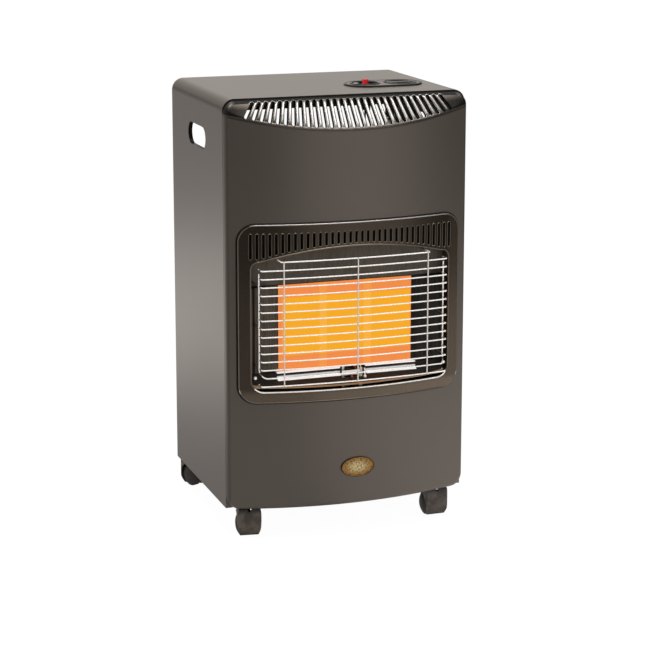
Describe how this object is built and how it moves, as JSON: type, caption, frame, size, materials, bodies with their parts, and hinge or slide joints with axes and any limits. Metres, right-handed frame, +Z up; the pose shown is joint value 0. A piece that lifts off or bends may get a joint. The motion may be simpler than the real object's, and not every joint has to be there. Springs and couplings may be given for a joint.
{
  "type": "portable gas cabinet heater",
  "caption": "Upright steel cabinet heater on swivelling castors, with a bowed front, fan louvre, radiant gas burner behind a wire guard, rear bottle bay and top controls.",
  "frame": {"origin": "bottom centre of the bounding box, on the floor", "axes": "+Z up, the burner faces -Y, +X to the right of someone who faces the burner"},
  "size_m": [0.42, 0.44, 0.747],
  "materials": {
    "casing_paint": "satin metallic grey-brown",
    "surround_enamel": "gloss enamel",
    "guard_chrome": "bright plated wire",
    "badge_brass": "satin with a dark rim",
    "plated_steel": "zinc plated sheet",
    "polished_steel": "bright rolled sheet",
    "fitting_brass": "turned",
    "copper_tube": "drawn copper",
    "electrode_ceramic": "glazed white",
    "plaque_ceramic": "fine pierced surface, glowing amber",
    "lead_rubber": "matt",
    "knob_plastic": "fine grain",
    "cast_alloy": "die cast",
    "red_plastic": "gloss",
    "castor_plastic": "fine grain",
    "wheel_plastic": "fine grain"
  },
  "bodies": {
    "cabinet": {"cabinet_wrap": "casing_paint", "front_panel": "casing_paint", "surround": "surround_enamel", "wire_guard": "guard_chrome", "front_badge": "badge_brass", "base_tray": "plated_steel", "burner_plate": "plated_steel", "heat_shield": "plated_steel", "plaque_frame": "plated_steel", "reflector_top": "polished_steel", "reflector_bottom": "polished_steel", "reflector_left": "polished_steel", "reflector_right": "polished_steel", "gas_rail": "plated_steel", "injectors": "fitting_brass", "pilot_bracket": "polished_steel", "pilot_burner": "fitting_brass", "thermocouple": "copper_tube", "spark_electrode": "electrode_ceramic", "ignition_lead": "lead_rubber", "control_plate": "casing_paint", "valve_body": "cast_alloy", "valve_bracket": "plated_steel", "igniter_body": "knob_plastic", "igniter_nut": "guard_chrome", "supply_tube": "copper_tube", "pilot_tube": "copper_tube", "hose_nozzle": "fitting_brass", "socket_screws": "plated_steel", "plaque_left": "plaque_ceramic", "burner_left": "plated_steel", "plaque_centre": "plaque_ceramic", "burner_centre": "plated_steel", "plaque_right": "plaque_ceramic", "burner_right": "plated_steel", "castor_socket_front_left": "plated_steel", "castor_socket_front_right": "plated_steel", "castor_socket_rear_left": "plated_steel", "castor_socket_rear_right": "plated_steel"},
    "valve_plunger": {"valve_plunger": "fitting_brass"},
    "knob": {"control_knob": "knob_plastic", "control_spindle": "plated_steel"},
    "igniter_button": {"igniter_button": "red_plastic"},
    "rear_cover": {"rear_cover": "casing_paint"},
    "castor_front_left": {"castor_hood_front_left": "castor_plastic", "castor_axle_front_left": "plated_steel"},
    "wheel_a_front_left": {"castor_wheel_a_front_left": "wheel_plastic"},
    "wheel_b_front_left": {"castor_wheel_b_front_left": "wheel_plastic"},
    "castor_front_right": {"castor_hood_front_right": "castor_plastic", "castor_axle_front_right": "plated_steel"},
    "wheel_a_front_right": {"castor_wheel_a_front_right": "wheel_plastic"},
    "wheel_b_front_right": {"castor_wheel_b_front_right": "wheel_plastic"},
    "castor_rear_left": {"castor_hood_rear_left": "castor_plastic", "castor_axle_rear_left": "plated_steel"},
    "wheel_a_rear_left": {"castor_wheel_a_rear_left": "wheel_plastic"},
    "wheel_b_rear_left": {"castor_wheel_b_rear_left": "wheel_plastic"},
    "castor_rear_right": {"castor_hood_rear_right": "castor_plastic", "castor_axle_rear_right": "plated_steel"},
    "wheel_a_rear_right": {"castor_wheel_a_rear_right": "wheel_plastic"},
    "wheel_b_rear_right": {"castor_wheel_b_rear_right": "wheel_plastic"}
  },
  "joints": [
    {"name": "knob_press", "type": "slide", "parent": "cabinet", "child": "valve_plunger", "axis": [0, 0, -1], "range_m": [0, 0.005], "stiffness_N_per_m": 2000, "springref_m": -0.003},
    {"name": "knob_turn", "type": "hinge", "parent": "valve_plunger", "child": "knob", "pos_m": [0.138, -0.04603, 0.7375], "axis": [0, 0, 1], "range_deg": [0, 210]},
    {"name": "igniter_press", "type": "slide", "parent": "cabinet", "child": "igniter_button", "axis": [0, 0, -1], "range_m": [0, 0.006], "stiffness_N_per_m": 1500, "springref_m": -0.002},
    {"name": "rear_cover_lift", "type": "slide", "parent": "cabinet", "child": "rear_cover", "axis": [0, 0, 1], "range_m": [0, 0.012]},
    {"name": "castor_swivel_front_left", "type": "hinge", "parent": "cabinet", "child": "castor_front_left", "pos_m": [-0.165, -0.12203, 0.047], "axis": [0, 0, 1], "continuous": true},
    {"name": "wheel_spin_a_front_left", "type": "hinge", "parent": "castor_front_left", "child": "wheel_a_front_left", "pos_m": [-0.16813, -0.14178, 0.02], "axis": [0.9877, -0.1564, 0], "continuous": true},
    {"name": "wheel_spin_b_front_left", "type": "hinge", "parent": "castor_front_left", "child": "wheel_b_front_left", "pos_m": [-0.16813, -0.14178, 0.02], "axis": [0.9877, -0.1564, 0], "continuous": true},
    {"name": "castor_swivel_front_right", "type": "hinge", "parent": "cabinet", "child": "castor_front_right", "pos_m": [0.165, -0.12203, 0.047], "axis": [0, 0, 1], "continuous": true},
    {"name": "wheel_spin_a_front_right", "type": "hinge", "parent": "castor_front_right", "child": "wheel_a_front_right", "pos_m": [0.165, -0.14203, 0.02], "axis": [1, 0, 0], "continuous": true},
    {"name": "wheel_spin_b_front_right", "type": "hinge", "parent": "castor_front_right", "child": "wheel_b_front_right", "pos_m": [0.165, -0.14203, 0.02], "axis": [1, 0, 0], "continuous": true},
    {"name": "castor_swivel_rear_left", "type": "hinge", "parent": "cabinet", "child": "castor_rear_left", "pos_m": [-0.168, 0.12897, 0.047], "axis": [0, 0, 1], "continuous": true},
    {"name": "wheel_spin_a_rear_left", "type": "hinge", "parent": "castor_rear_left", "child": "wheel_a_rear_left", "pos_m": [-0.17614, 0.14724, 0.02], "axis": [-0.9135, -0.4067, 0], "continuous": true},
    {"name": "wheel_spin_b_rear_left", "type": "hinge", "parent": "castor_rear_left", "child": "wheel_b_rear_left", "pos_m": [-0.17614, 0.14724, 0.02], "axis": [-0.9135, -0.4067, 0], "continuous": true},
    {"name": "castor_swivel_rear_right", "type": "hinge", "parent": "cabinet", "child": "castor_rear_right", "pos_m": [0.168, 0.12897, 0.047], "axis": [0, 0, 1], "continuous": true},
    {"name": "wheel_spin_a_rear_right", "type": "hinge", "parent": "castor_rear_right", "child": "wheel_a_rear_right", "pos_m": [0.168, 0.14897, 0.02], "axis": [-1, 0, 0], "continuous": true},
    {"name": "wheel_spin_b_rear_right", "type": "hinge", "parent": "castor_rear_right", "child": "wheel_b_rear_right", "pos_m": [0.168, 0.14897, 0.02], "axis": [-1, 0, 0], "continuous": true}
  ]
}
